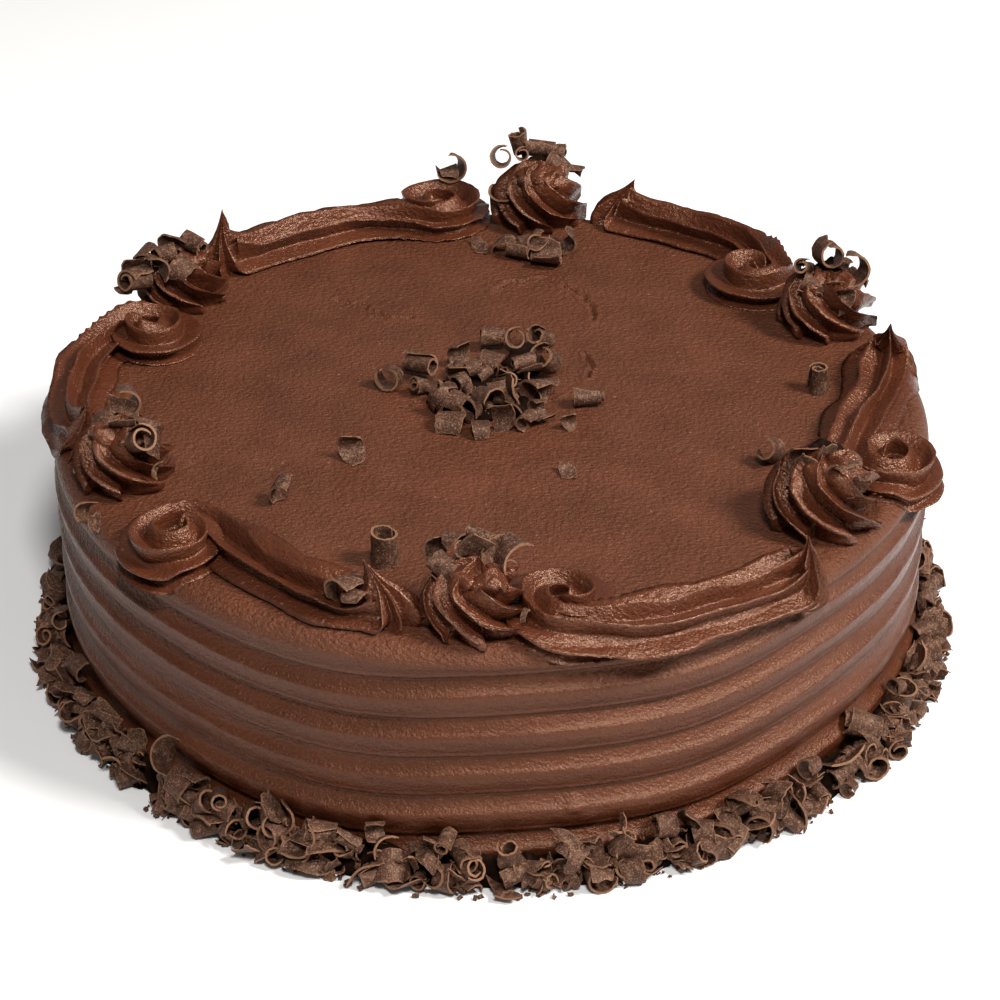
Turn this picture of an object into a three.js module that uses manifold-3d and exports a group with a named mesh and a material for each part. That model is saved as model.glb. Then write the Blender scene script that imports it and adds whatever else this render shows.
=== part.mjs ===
// Round chocolate cake with a combed side, a piped border and chocolate curls.
// Millimetres, +Z up. The origin is the middle of the cake's flat underside.
// The border has six stars and six scrolls. Counted from above against the clock,
// each star is followed by a coil, a rope along the rim and a peak of icing.

import * as THREE from 'three';
import Module from 'manifold-3d';

const wasm = await Module();
wasm.setup();

// Cake body
const cakeRadius = 120;
const cakeHeight = 68;
const rimRounding = 5.5;
const bodySegments = 41;
const combFirst = 14;
const combPitch = 11.9;
const combGrooves = 5;
const combDepth = 2.2;

// Clearance between neighbouring pieces
const clearance = 0.3;

// Piped stars: place on the rim in degrees and millimetres, size, and first ribbon
const starHeight = 18.5;
const starRadius = 13.6;
const starRibbons = 8;
const starTwist = 62;
const stars = [
  { angle: 268, reach: 106, size: 1.0, start: 10 },
  { angle: 325, reach: 105, size: 1.08, start: 25 },
  { angle: 25, reach: 106, size: 1.05, start: 0 },
  { angle: 83, reach: 114, size: 1.08, start: 18 },
  { angle: 146, reach: 109, size: 1.0, start: 32 },
  { angle: 202, reach: 104, size: 1.02, start: 5 },
];

// Piped scrolls: coil, rope and peak. An outer coil is left on its outer side, an inner one on its inner side
const ropeHalfWidth = 8.6;
const ropeHeight = 10;
const ropeRidges = 4;
const coilRadius = 8.8;
const coilTurn = 232;
const coilStartScale = 0.58;
const pathSteps = 21;
const peakHeight = 18;
const peakLength = 13;
const scrolls = [
  { coil: 280, coilReach: 105, outer: true, rope: 113.5, peak: 311, peakReach: 115, lean: 1.5 },
  { coil: 339, coilReach: 114, outer: false, rope: 111.5, peak: 369, peakReach: 110, lean: -1 },
  { coil: 42, coilReach: 103, outer: true, rope: 116.5, peak: 69.5, peakReach: 117, lean: 1 },
  { coil: 99, coilReach: 115, outer: false, rope: 112, peak: 134, peakReach: 112, lean: 2 },
  { coil: 162, coilReach: 103, outer: true, rope: 114, peak: 191, peakReach: 112, lean: 0 },
  { coil: 224, coilReach: 109, outer: false, rope: 108.5, peak: 254, peakReach: 108, lean: -2 },
];

// Chocolate curls: rolled shavings
const curlThickness = 1.1;
const curlSteps = 3;
const curlRadius = 3.7;
const curlWidth = 7;

// Heaps on the stars: offset of the heap's middle from the star's and the number of curls
const starHeaps = [
  { x: 0, y: 3, count: 5, seed: 11 },
  { x: -2, y: 2, count: 5, seed: 27 },
  { x: 0, y: 3, count: 5, seed: 33 },
  { x: 0, y: 2, count: 5, seed: 48 },
  { x: -1, y: 3, count: 5, seed: 52 },
  { x: 1, y: 3, count: 5, seed: 69 },
];

// Heap in the middle of the top: half sizes, height of its core and layers of curls
const middleHeap = { x: -3, y: 1, halfX: 22, halfY: 15, coreHeight: 6, seed: 7 };
const middleLayers = [
  { z: 4.2, spread: 0.95, count: 11 },
  { z: 8.6, spread: 0.5, count: 5 },
];

// Ring of curls round the foot
const ringSectors = 8;
const ringRadius = 125;
const ringCoreHeight = 9;
const ringRows = [
  { reach: 126.4, z: 4.9, count: 5 },
  { reach: 125, z: 11, count: 3 },
];

// Curls that lie alone on the top
const looseCurls = [
  { name: 'loose_curl_left_1', x: -37, y: -30, yaw: 15, size: 0.95, turn: 0.6 },
  { name: 'loose_curl_left_2', x: -55, y: -52, yaw: 60, size: 0.9, turn: 0.65 },
  { name: 'loose_curl_right_1', x: 90, y: 6, yaw: 95, size: 0.95, turn: 0.8, upright: true },
  { name: 'loose_curl_right_2', x: 74, y: -33, yaw: 150, size: 0.95, turn: 0.8 },
  { name: 'loose_curl_front', x: -27, y: -80, yaw: 40, size: 1.1, turn: 0.85, upright: true },
  { name: 'loose_curl_middle_1', x: 26.5, y: -1, yaw: 5, size: 0.85, turn: 0.8 },
  { name: 'loose_curl_middle_2', x: 21, y: -14, yaw: 20, size: 0.6, turn: 0.55 },
  { name: 'loose_curl_middle_3', x: 20, y: -37, yaw: 10, size: 0.55, turn: 0.5 },
];

// Small heap in front of the back star
const backHeap = { x: 14, y: 87, halfX: 11, halfY: 5, count: 5, seed: 81 };

const icingColor = 0x57301f;
const curlColor = 0x4b3a32;

const degrees = Math.PI / 180;

function makeRandom(seed) {
  let state = seed;
  return () => {
    state = (state * 1664525 + 1013904223) % 4294967296;
    return state / 4294967296;
  };
}

function polar(angle, reach, z) {
  return new THREE.Vector3(reach * Math.cos(angle * degrees), reach * Math.sin(angle * degrees), z);
}

// Closed skin over rows of points: each row is a loop, and both ends are closed by fans
function skin(rows) {
  const count = rows[0].length;
  const points = rows.flat();
  const triangles = [];
  for (let row = 0; row + 1 < rows.length; row++) {
    for (let i = 0; i < count; i++) {
      const a = row * count + i;
      const b = row * count + (i + 1) % count;
      triangles.push(a, b, b + count, a, b + count, a + count);
    }
  }
  const last = (rows.length - 1) * count;
  for (let i = 1; i + 1 < count; i++) {
    triangles.push(0, i + 1, i);
    triangles.push(last, last + i, last + i + 1);
  }
  return toSolid(points, triangles);
}

// Solid from points and triangles, turned right side out
function toSolid(points, triangles) {
  let volume = 0;
  for (let i = 0; i < triangles.length; i += 3) {
    const [a, b, c] = [points[triangles[i]], points[triangles[i + 1]], points[triangles[i + 2]]];
    volume += a.dot(new THREE.Vector3().crossVectors(b, c));
  }
  if (volume < 0) {
    triangles.reverse();
  }
  return new wasm.Manifold(new wasm.Mesh({
    numProp: 3,
    vertProperties: new Float32Array(points.flatMap((p) => [p.x, p.y, p.z])),
    triVerts: new Uint32Array(triangles),
  }));
}

function join(solids) {
  return solids.reduce((sum, solid) => sum.add(solid));
}

function cut(solid, cutters) {
  return cutters.reduce((rest, cutter) => rest.subtract(cutter), solid);
}

// The largest body of a solid, without sealed hollows and loose scraps
function largestBody(solid) {
  const bodies = solid.simplify(0.02).decompose();
  return bodies.reduce((best, body) => (body.volume() > best.volume() ? body : best));
}

// Cake body: arcs left by the icing comb, a rounded rim and a flat top
function sideProfile(grow) {
  const profile = [[cakeRadius - combDepth + grow, 0]];
  for (let groove = 0; groove < combGrooves; groove++) {
    const z = combFirst + groove * combPitch;
    const below = groove === 0 ? combFirst * 0.5 : z - combPitch * 0.62;
    profile.push([cakeRadius - 0.3 + grow, below]);
    profile.push([cakeRadius - 0.3 + grow, z - combPitch * 0.28]);
    profile.push([cakeRadius - combDepth + grow, z]);
  }
  const rimBottom = cakeHeight - rimRounding;
  for (const turn of [18, 45, 72]) {
    const across = cakeRadius - rimRounding + rimRounding * Math.cos(turn * degrees);
    profile.push([across + grow, rimBottom + rimRounding * Math.sin(turn * degrees) + grow]);
  }
  profile.push([cakeRadius - rimRounding - 1.5, cakeHeight + grow]);
  return profile;
}

function cakeBody(grow) {
  const rows = sideProfile(grow).map(([reach, z]) => {
    const row = [];
    for (let i = 0; i < bodySegments; i++) {
      row.push(polar(i * 360 / bodySegments, reach, z));
    }
    return row;
  });
  return skin(rows);
}

// Piped star: ribbons with one sharp edge each, twisted from the foot to the tip
const starLevels = [
  { up: 0, across: 0.98 },
  { up: 0.36, across: 1.0 },
  { up: 0.68, across: 0.8 },
  { up: 0.88, across: 0.5 },
  { up: 1.0, across: 0.16 },
];
const ribbonShape = [
  { along: 0, out: 1 },
  { along: 0.3, out: 0.7 },
  { along: 0.68, out: 0.76 },
];

function star({ angle, reach, size, start }, grow) {
  const centre = polar(angle, reach, cakeHeight + clearance);
  const rows = starLevels.map(({ up, across }) => {
    const row = [];
    for (let ribbon = 0; ribbon < starRibbons; ribbon++) {
      for (const { along, out } of ribbonShape) {
        const turn = start + (ribbon + along) * 360 / starRibbons + starTwist * (1 - up);
        const r = starRadius * size * across * out + grow;
        const p = polar(turn, r, 0).add(centre);
        p.z += up * (starHeight * size + grow);
        row.push(p);
      }
    }
    return row;
  });
  return skin(rows);
}

// Middle line of a scroll: the coil's turns, then along the rim to the peak
function scrollPath({ coil, coilReach, outer, rope, peak, peakReach }) {
  const centre = polar(coil, coilReach, 0);
  const direction = outer ? 1 : -1;
  const leave = outer ? coil - 5 : coil + 195;
  const points = [];
  const steps = 8;
  for (let i = 0; i <= steps; i++) {
    const part = i / steps;
    const radius = coilRadius * THREE.MathUtils.lerp(coilStartScale, 1, Math.min(part * 2, 1));
    points.push(polar(leave - direction * coilTurn * (1 - part), radius, 0).add(centre));
  }
  const first = coil + (outer ? 7 : 11);
  const last = peak - 4;
  const stretches = Math.max(2, Math.round((last - first) / 9));
  for (let i = 0; i <= stretches; i++) {
    points.push(polar(THREE.MathUtils.lerp(first, last, i / stretches), rope, 0));
  }
  points.push(polar(peak + 3.5, peakReach, 0));
  return new THREE.CatmullRomCurve3(points, false, 'centripetal');
}

// Section of piped icing at one place on the path: ridges over a flat foot
function ropeSection(curve, place, length, scroll, grow) {
  const centre = curve.getPointAt(place);
  const along = curve.getTangentAt(place);
  const side = new THREE.Vector3(along.y, -along.x, 0);
  const toEnd = (1 - place) * length;
  const fromStart = place * length;
  const start = Math.min(1, coilStartScale + fromStart / 30);
  const end = Math.min(1, 0.35 + toEnd / 9);
  const halfWidth = ropeHalfWidth * start * end + grow;
  const height = ropeHeight * (0.9 + 0.1 * start) * end + grow;
  const gather = Math.max(0, 1 - Math.abs(toEnd - peakLength * 0.5) / (peakLength * 0.5));
  const twist = 16 * Math.sin(fromStart / 20);
  const row = [];
  for (let i = 0; i <= 2 * ropeRidges; i++) {
    const turn = i * 180 / (2 * ropeRidges);
    const leaned = turn + twist * Math.sin(turn * degrees) * 0.6;
    const out = i % 2 === 0 ? 1 : 0.74;
    const lift = Math.sin(leaned * degrees) * out;
    const u = halfWidth * Math.cos(leaned * degrees) * out;
    const pull = gather * Math.sqrt(Math.max(lift, 0)) * 0.92;
    const v = THREE.MathUtils.lerp(height * lift, peakHeight + grow, pull);
    const p = side.clone().multiplyScalar(THREE.MathUtils.lerp(u, scroll.lean, pull)).add(centre);
    p.z = cakeHeight + clearance + v;
    row.push(p);
  }
  return row;
}

function scrollSolid(scroll, grow) {
  const curve = scrollPath(scroll);
  const length = curve.getLength();
  const rows = [];
  for (let i = 0; i <= pathSteps; i++) {
    rows.push(ropeSection(curve, i / pathSteps, length, scroll, grow));
  }
  return skin(rows);
}

// One rolled shaving about its own middle: its axis is X until it is turned
function curlRows(size, turn, width) {
  const rows = [];
  for (let i = 0; i <= curlSteps; i++) {
    const part = i / curlSteps;
    const angle = (part - 0.5) * turn * 360 - 90;
    const radius = curlRadius * size * (0.9 + 0.22 * part);
    const half = width / 2 * (1 - 0.12 * Math.abs(part - 0.5) * 2);
    const row = [];
    for (const [out, side] of [[1, -1], [1, 1], [0, 1], [0, -1]]) {
      const r = radius - curlThickness * (1 - out);
      row.push(new THREE.Vector3(side * half, r * Math.cos(angle * degrees), r * Math.sin(angle * degrees)));
    }
    rows.push(row);
  }
  return rows;
}

function curl({ x, y, z, yaw, tilt = 0, roll = 0, size = 1, turn = 0.75, width = curlWidth }) {
  const spin = new THREE.Euler(roll * degrees, tilt * degrees, yaw * degrees, 'ZYX');
  const rows = curlRows(size, turn, width * size);
  for (const p of rows.flat()) {
    p.applyEuler(spin).add(new THREE.Vector3(x, y, z));
  }
  return skin(rows);
}

// Low dome that holds a heap of curls together
function heapCore(x, y, z, halfX, halfY, height) {
  const sides = 9;
  const rows = [[1, 0], [0.6, 1]].map(([spread, up]) => {
    const row = [];
    for (let i = 0; i < sides; i++) {
      const turn = i * 360 / sides * degrees;
      const place = new THREE.Vector3(Math.cos(turn) * halfX, Math.sin(turn) * halfY, 0);
      row.push(place.multiplyScalar(spread).add(new THREE.Vector3(x, y, z + up * height)));
    }
    return row;
  });
  return skin(rows);
}

function randomCurl(random, x, y, z) {
  return curl({
    x,
    y,
    z,
    yaw: random() * 360,
    tilt: (random() - 0.5) * 60,
    roll: random() * 360,
    size: 0.85 + 0.3 * random(),
    turn: 0.45 + 0.4 * random(),
    width: curlWidth * (0.8 + 0.4 * random()),
  });
}

function middleHeapSolid(cutters) {
  const { x, y, halfX, halfY, coreHeight, seed } = middleHeap;
  const random = makeRandom(seed);
  const pieces = [heapCore(x, y, cakeHeight + clearance, halfX * 0.85, halfY * 0.85, coreHeight)];
  for (const { z, spread, count } of middleLayers) {
    for (let i = 0; i < count; i++) {
      const turn = 360 * (i + 0.6 * random()) / count;
      const out = spread * (i % 2 === 0 ? 0.95 : 0.5);
      const place = polar(turn, out, 0);
      pieces.push(randomCurl(random, x + place.x * halfX, y + place.y * halfY, cakeHeight + z));
    }
  }
  return cut(join(pieces), cutters);
}

function starHeapSolid(heap, { angle, reach, size }, cutters) {
  const random = makeRandom(heap.seed);
  const centre = polar(angle, reach, cakeHeight + starHeight * size);
  const x = centre.x + heap.x;
  const y = centre.y + heap.y;
  const pieces = [heapCore(x, y, centre.z - 5, 6.5, 5.5, 7)];
  for (let i = 0; i < heap.count; i++) {
    const turn = 360 * (i + 0.5 * random()) / heap.count;
    const place = polar(turn, i % 2 === 0 ? 8 : 5, 0);
    const z = centre.z + (i % 2 === 0 ? -1 : 2.5);
    pieces.push(randomCurl(random, x + place.x, y + place.y, z));
  }
  return cut(join(pieces), cutters);
}

function backHeapSolid(cutters) {
  const { x, y, halfX, halfY, count, seed } = backHeap;
  const random = makeRandom(seed);
  const pieces = [heapCore(x, y, cakeHeight + clearance, halfX, halfY, 3.5)];
  for (let i = 0; i < count; i++) {
    const across = (i / (count - 1) - 0.5) * 2 * halfX * 0.9;
    pieces.push(randomCurl(random, x + across, y + (random() - 0.5) * halfY, cakeHeight + 4));
  }
  return cut(join(pieces), cutters);
}

// One sector of the ring round the foot: a low wedge with curls on it
function ringSector(index, cutters) {
  const random = makeRandom(100 + index);
  const span = 360 / ringSectors;
  const gap = 0.12;
  const from = index * span + gap;
  const to = (index + 1) * span - gap;
  const wedge = [];
  const steps = 6;
  for (let i = 0; i <= steps; i++) {
    const angle = THREE.MathUtils.lerp(from, to, i / steps);
    wedge.push([
      polar(angle, cakeRadius - 4, 0),
      polar(angle, ringRadius + 1.5, 0),
      polar(angle, ringRadius, ringCoreHeight * 0.45),
      polar(angle, cakeRadius + 1.5, ringCoreHeight),
      polar(angle, cakeRadius - 4, ringCoreHeight),
    ]);
  }
  const pieces = [skin(wedge)];
  for (const { reach, z, count } of ringRows) {
    for (let i = 0; i < count; i++) {
      const margin = 2.2;
      const angle = from + margin + (to - from - 2 * margin) * (i + 0.5 * random()) / (count - 0.5);
      const place = polar(angle, reach + 1.5 * (random() - 0.5), z);
      pieces.push(randomCurl(random, place.x, place.y, place.z));
    }
  }
  const sides = [sectorSide(from, -1), sectorSide(to, 1)];
  return cut(join(pieces), [...cutters, ...sides, floorBlock()]);
}

// Block that trims a sector's end along a radius
function sectorSide(angle, direction) {
  const along = polar(angle, 1, 0);
  const across = polar(angle + 90 * direction, 1, 0);
  const corner = (reach, side, z) => new THREE.Vector3(0, 0, z)
    .addScaledVector(along, reach).addScaledVector(across, side);
  return skin([-20, 50].map((z) => [corner(90, 0, z), corner(160, 0, z), corner(160, 40, z), corner(90, 40, z)]));
}

// Block below the surface that the cake stands on
function floorBlock() {
  const half = 200;
  return skin([-60, 0].map((z) => [
    new THREE.Vector3(-half, -half, z),
    new THREE.Vector3(half, -half, z),
    new THREE.Vector3(half, half, z),
    new THREE.Vector3(-half, half, z),
  ]));
}

function looseCurlSolid({ x, y, yaw, size, turn, upright }) {
  const lift = upright ? curlWidth * size / 2 + clearance : curlRadius * size * 1.12 + clearance;
  return curl({ x, y, z: cakeHeight + lift, yaw, tilt: upright ? 90 : 0, size, turn });
}

const icing = new THREE.MeshStandardMaterial({ color: icingColor, roughness: 0.55, metalness: 0 });
const chocolate = new THREE.MeshStandardMaterial({ color: curlColor, roughness: 0.7, metalness: 0 });

function addNode(group, name, solid, material) {
  const body = largestBody(solid);
  const mesh = body.getMesh();
  const geometry = new THREE.BufferGeometry();
  geometry.setAttribute('position', new THREE.BufferAttribute(mesh.vertProperties, mesh.numProp));
  geometry.setIndex(new THREE.BufferAttribute(mesh.triVerts, 1));
  geometry.computeVertexNormals();
  const node = new THREE.Mesh(geometry, material.clone());
  node.name = name;
  group.add(node);
}

const group = new THREE.Group();
addNode(group, 'cake_body', cakeBody(0), icing);

const bodyCutter = cakeBody(clearance);
const starCutters = stars.map((each) => star(each, clearance));
const scrollCutters = scrolls.map((each) => scrollSolid(each, clearance));

stars.forEach((each, i) => {
  addNode(group, `star_${i + 1}`, star(each, 0), icing);
});
scrolls.forEach((each, i) => {
  const neighbours = [starCutters[i], starCutters[(i + 1) % stars.length]];
  addNode(group, `scroll_${i + 1}`, cut(scrollSolid(each, 0), neighbours), icing);
});
stars.forEach((each, i) => {
  const before = scrollCutters[(i + scrolls.length - 1) % scrolls.length];
  const cutters = [bodyCutter, starCutters[i], scrollCutters[i], before];
  addNode(group, `star_curls_${i + 1}`, starHeapSolid(starHeaps[i], each, cutters), chocolate);
});
addNode(group, 'middle_curls', middleHeapSolid([bodyCutter]), chocolate);
addNode(group, 'back_curls', backHeapSolid([bodyCutter, starCutters[3], scrollCutters[3]]), chocolate);
for (let i = 0; i < ringSectors; i++) {
  addNode(group, `foot_curls_${i + 1}`, ringSector(i, [bodyCutter]), chocolate);
}
for (const loose of looseCurls) {
  addNode(group, loose.name, cut(looseCurlSolid(loose), [bodyCutter]), chocolate);
}

export default group;
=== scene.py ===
"""A round chocolate cake: combed side, piped border of stars and scrolls, chocolate curls.

Shapes are worked out in millimetres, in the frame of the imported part, and turned into metres
when a mesh is made. Angles are in degrees round the cake, with 270 at the front. Heights of the
curls and of the piping are given above the cake's flat top.
"""

import math

import bpy
import numpy as np
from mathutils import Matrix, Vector


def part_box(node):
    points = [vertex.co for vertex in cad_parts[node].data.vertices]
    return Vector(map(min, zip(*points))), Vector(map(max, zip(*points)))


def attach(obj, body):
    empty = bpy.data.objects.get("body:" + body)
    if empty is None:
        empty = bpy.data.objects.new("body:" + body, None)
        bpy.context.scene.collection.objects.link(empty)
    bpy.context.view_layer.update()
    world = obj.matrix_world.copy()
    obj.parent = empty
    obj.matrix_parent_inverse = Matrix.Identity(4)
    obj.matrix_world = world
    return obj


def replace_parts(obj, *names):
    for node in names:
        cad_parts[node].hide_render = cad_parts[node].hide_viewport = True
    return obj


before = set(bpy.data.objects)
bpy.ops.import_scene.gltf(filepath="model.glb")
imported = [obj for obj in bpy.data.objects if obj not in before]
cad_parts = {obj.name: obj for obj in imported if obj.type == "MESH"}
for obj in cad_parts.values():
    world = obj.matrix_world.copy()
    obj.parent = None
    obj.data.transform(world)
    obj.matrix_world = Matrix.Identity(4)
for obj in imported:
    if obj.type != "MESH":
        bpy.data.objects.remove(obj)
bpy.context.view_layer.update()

MM = 0.001
BODY = "root"

# Cake body. The comb's grooves: height of the first, distance, depth, and where in a rib its crest
# lies, with how much higher they run at some angles
CAKE_RADIUS = 120.0
CAKE_HEIGHT = (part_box("cake_body")[1].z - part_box("cake_body")[0].z) / MM
RIM_ROUNDING = 5.5
COMB_FIRST = 12.1
COMB_PITCH = 11.9
COMB_DEPTH = 2.7
COMB_CREST = 0.68
COMB_DRIFT = (
    (0, 2.5), (90, 0.5), (180, 0.5), (229, -1.0), (245, -3.2), (255, -3.5),
    (270, 0.0), (285, 0.3), (295, -0.5), (311, 3.5), (322, 4.0), (360, 2.5),
)
COMB_SECOND_LINE = 0.16
COMB_UNEVEN = 0.3
LIP_ROUGHNESS = 0.14
SIDE_WAVES = 0.35
SIDE_RIPPLES = 0.1
TURN_STEPS = 480
SIDE_STEP = 0.48
RIM_STEP = 6
TOP_STEP = 1.3
CREASED = (20.0, 82.0)
CREASED_STEP = 0.6
LAST_LOOP = 0.5
CREASES = (
    ((-46, 60), (-38, 57), (-34, 52), (-30, 49), (-23, 48)),
    ((0, 65), (4, 70), (15, 74), (22, 68), (27, 61), (29, 54), (28, 47)),
    ((26, 27), (28, 20), (27, 15)),
)
CREASE_DEPTH = 1.2
CREASE_WIDTH = 0.6
SCUFF = (21, -118, 19)
SCUFF_REACH = 4

# Piped stars, within about 1 mm of the part's: angle and reach of the middle, size, first ribbon
STAR_HEIGHT = 18.5
STAR_RADIUS = 13.6
STAR_RIBBONS = 8
STAR_TWIST = 92.0
STAR_STEEP = 0.2
STAR_DEPTH = 0.46
STAR_POINTS = 224
STAR_ROWS = 50
LUMPS = ((-3.5, -3.0, 3.4), (3.0, -4.0, 4.2), (0.5, 2.0, 4.0), (6.0, 0.5, 3.0))
LUMP_SUNK = 4.4
LUMP_ROWS = 18
LUMP_POINTS = 30
STARS = (
    {"angle": 268, "reach": 106, "size": 1.0, "start": 0},
    {"angle": 325, "reach": 104, "size": 1.16, "start": 15},
    {"angle": 25, "reach": 106, "size": 1.05, "start": -10},
    {"angle": 83, "reach": 114, "size": 1.08, "start": 8},
    {"angle": 146, "reach": 109, "size": 1.0, "start": 22},
    {"angle": 202, "reach": 104, "size": 1.02, "start": -5},
)

# Piped scrolls, nearer to the photo than the part's: coil, rope, peak. The apron is the rope's frill
# towards the rim, the swing its turn as it leaves the coil, and the tongue lifts the coil's middle.
ROPE_HALF_WIDTH = 9.0
ROPE_HEIGHT = 9.6
ROPE_RIDGES = 4
ROPE_FLUTE = 0.55
ROPE_POINTS = 136
ROPE_SKIRT = 1.3
ROPE_SUNK = 0.3
ROPE_SAG = 3.6
COIL_RADIUS = 8.8
COIL_TURN = 232.0
COIL_INNER = 0.75
COIL_FIN_TURN = 22.5
COIL_LENGTH = 34.0
COIL_SLIM = 0.62
PEAK_LENGTH = 13.0
PEAK_STEPS = 36
PEAK_AHEAD = 6.0
PEAK_PULL = 0.5
PEAK_PROFILE = (
    (0, 1), (0.35, 0.88), (0.5, 0.72), (0.62, 0.52), (0.72, 0.31), (0.82, 0.16), (0.9, 0.08), (1, 0.015),
)
PATH_STEP = 0.7
CURVE_POINTS = 40
SCROLLS = (
    {"coil": 280, "coil_reach": 105, "outer": True, "rope": 115.5, "peak": 309.5, "peak_reach": 117,
     "tip": (2.5, 2.5, 15.5), "apron": 3.5, "swing": 0, "tongue": 2.5},
    {"coil": 341, "coil_reach": 110.5, "outer": False, "rope": 112, "peak": 369.7, "peak_reach": 111.5,
     "tip": (-5, 1, 17.5), "apron": 1.5, "swing": -11, "tongue": 0},
    {"coil": 42, "coil_reach": 103, "outer": True, "rope": 116.5, "peak": 70.5, "peak_reach": 117,
     "tip": (-4, 1.5, 15), "apron": 0.5, "swing": 0, "tongue": 1},
    {"coil": 99, "coil_reach": 115, "outer": False, "rope": 112, "peak": 134, "peak_reach": 112,
     "tip": (2, 0.5, 20), "apron": 0.5, "swing": 0, "tongue": 2},
    {"coil": 162, "coil_reach": 103, "outer": True, "rope": 114, "peak": 191.5, "peak_reach": 112,
     "tip": (4, -1.5, 16), "apron": 0.5, "swing": 0, "tongue": 3},
    {"coil": 224, "coil_reach": 108.5, "outer": False, "rope": 110, "peak": 256.2, "peak_reach": 108,
     "tip": (-5.5, 0.5, 17), "apron": 0.5, "swing": -8, "tongue": 4},
)

# Chocolate curls: how far round each kind is rolled, its radius, its width and its share in a heap
CURL_THICKNESS = 0.55
CURL_RAGGED = 0.17
CURL_TIGHTER = 0.32
CURL_DENTS = 0.06
CURL_KINDS = {
    "tube": {"turn": (1.1, 1.5), "radius": (2.3, 2.9), "width": (5.5, 8.0), "share": 0.2},
    "ring": {"turn": (0.95, 1.1), "radius": (2.8, 3.4), "width": (3.5, 5.5), "share": 0.1},
    "hook": {"turn": (0.6, 0.85), "radius": (2.9, 3.6), "width": (4.5, 7.0), "share": 0.24},
    "half": {"turn": (0.35, 0.5), "radius": (3.6, 4.4), "width": (5.0, 7.5), "share": 0.2},
    "flake": {"turn": (0.12, 0.22), "radius": (6.0, 9.0), "width": (4.0, 7.0), "share": 0.18},
    "sliver": {"turn": (0.3, 0.6), "radius": (2.6, 3.4), "width": (1.6, 2.6), "share": 0.08},
}
CURL_ACROSS = (-1.0, -0.9, -0.35, 0.35, 0.9, 1.0)

# Heap in the middle of the top: kind, place, yaw, tilt, roll and size of the curls that show clearly,
# and height, spread and count of those that fill it in
MIDDLE_CURLS = (
    ("ring", (-28, 8, 3.6), 250, -12, 60, 1.15),
    ("tube", (-20, 14, 4.5), 145, 8, 30, 1.35),
    ("hook", (-20, 4, 3.2), 60, 20, 190, 0.75),
    ("half", (-9, 20, 4.5), 20, 0, 95, 1.1),
    ("tube", (0, 31, 3.8), 5, 0, 80, 1.1),
    ("ring", (7, 30, 3.8), 262, -25, 0, 1.1),
    ("tube", (14, 30, 4.0), 235, -35, 40, 1.25),
    ("ring", (15, 14, 6.0), 235, -40, 20, 1.45),
    ("tube", (9, 10, 7.0), 25, 0, 120, 1.1),
    ("half", (0, 12, 7.5), 340, 10, 180, 1.0),
    ("hook", (-5, 7, 7.5), 20, -10, 150, 0.95),
    ("half", (-9, 4, 6.5), 15, 0, 90, 1.0),
    ("half", (13, -1, 5.0), 15, 5, 110, 1.35),
    ("hook", (13, -10, 4.0), 30, 10, 60, 1.0),
    ("hook", (9, -14, 3.2), 60, 0, 130, 0.9),
    ("hook", (-13, -6, 3.5), 120, -25, 40, 1.35),
    ("half", (-9, -9, 6.5), 150, 0, 160, 0.8),
    ("half", (-5, -10, 5.0), 60, 20, 200, 1.0),
    ("half", (-11, -13, 2.2), 350, 0, 175, 1.2),
    ("half", (-3, -17, 2.0), 5, 0, 180, 0.95),
    ("half", (-1, -8, 7.5), 130, 15, 190, 1.1),
    ("flake", (3, -15, 4.0), 350, 0, 85, 1.0),
    ("flake", (6, -7, 8.0), 95, 10, 70, 0.95),
)
MIDDLE_PLACE = (-3.0, 2.0)
MIDDLE_HALF = (19.0, 16.0)
MIDDLE_FILLING = ((2.6, 0.85, 16), (5.0, 0.55, 9))
MIDDLE_CRUMBS = 18

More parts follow.
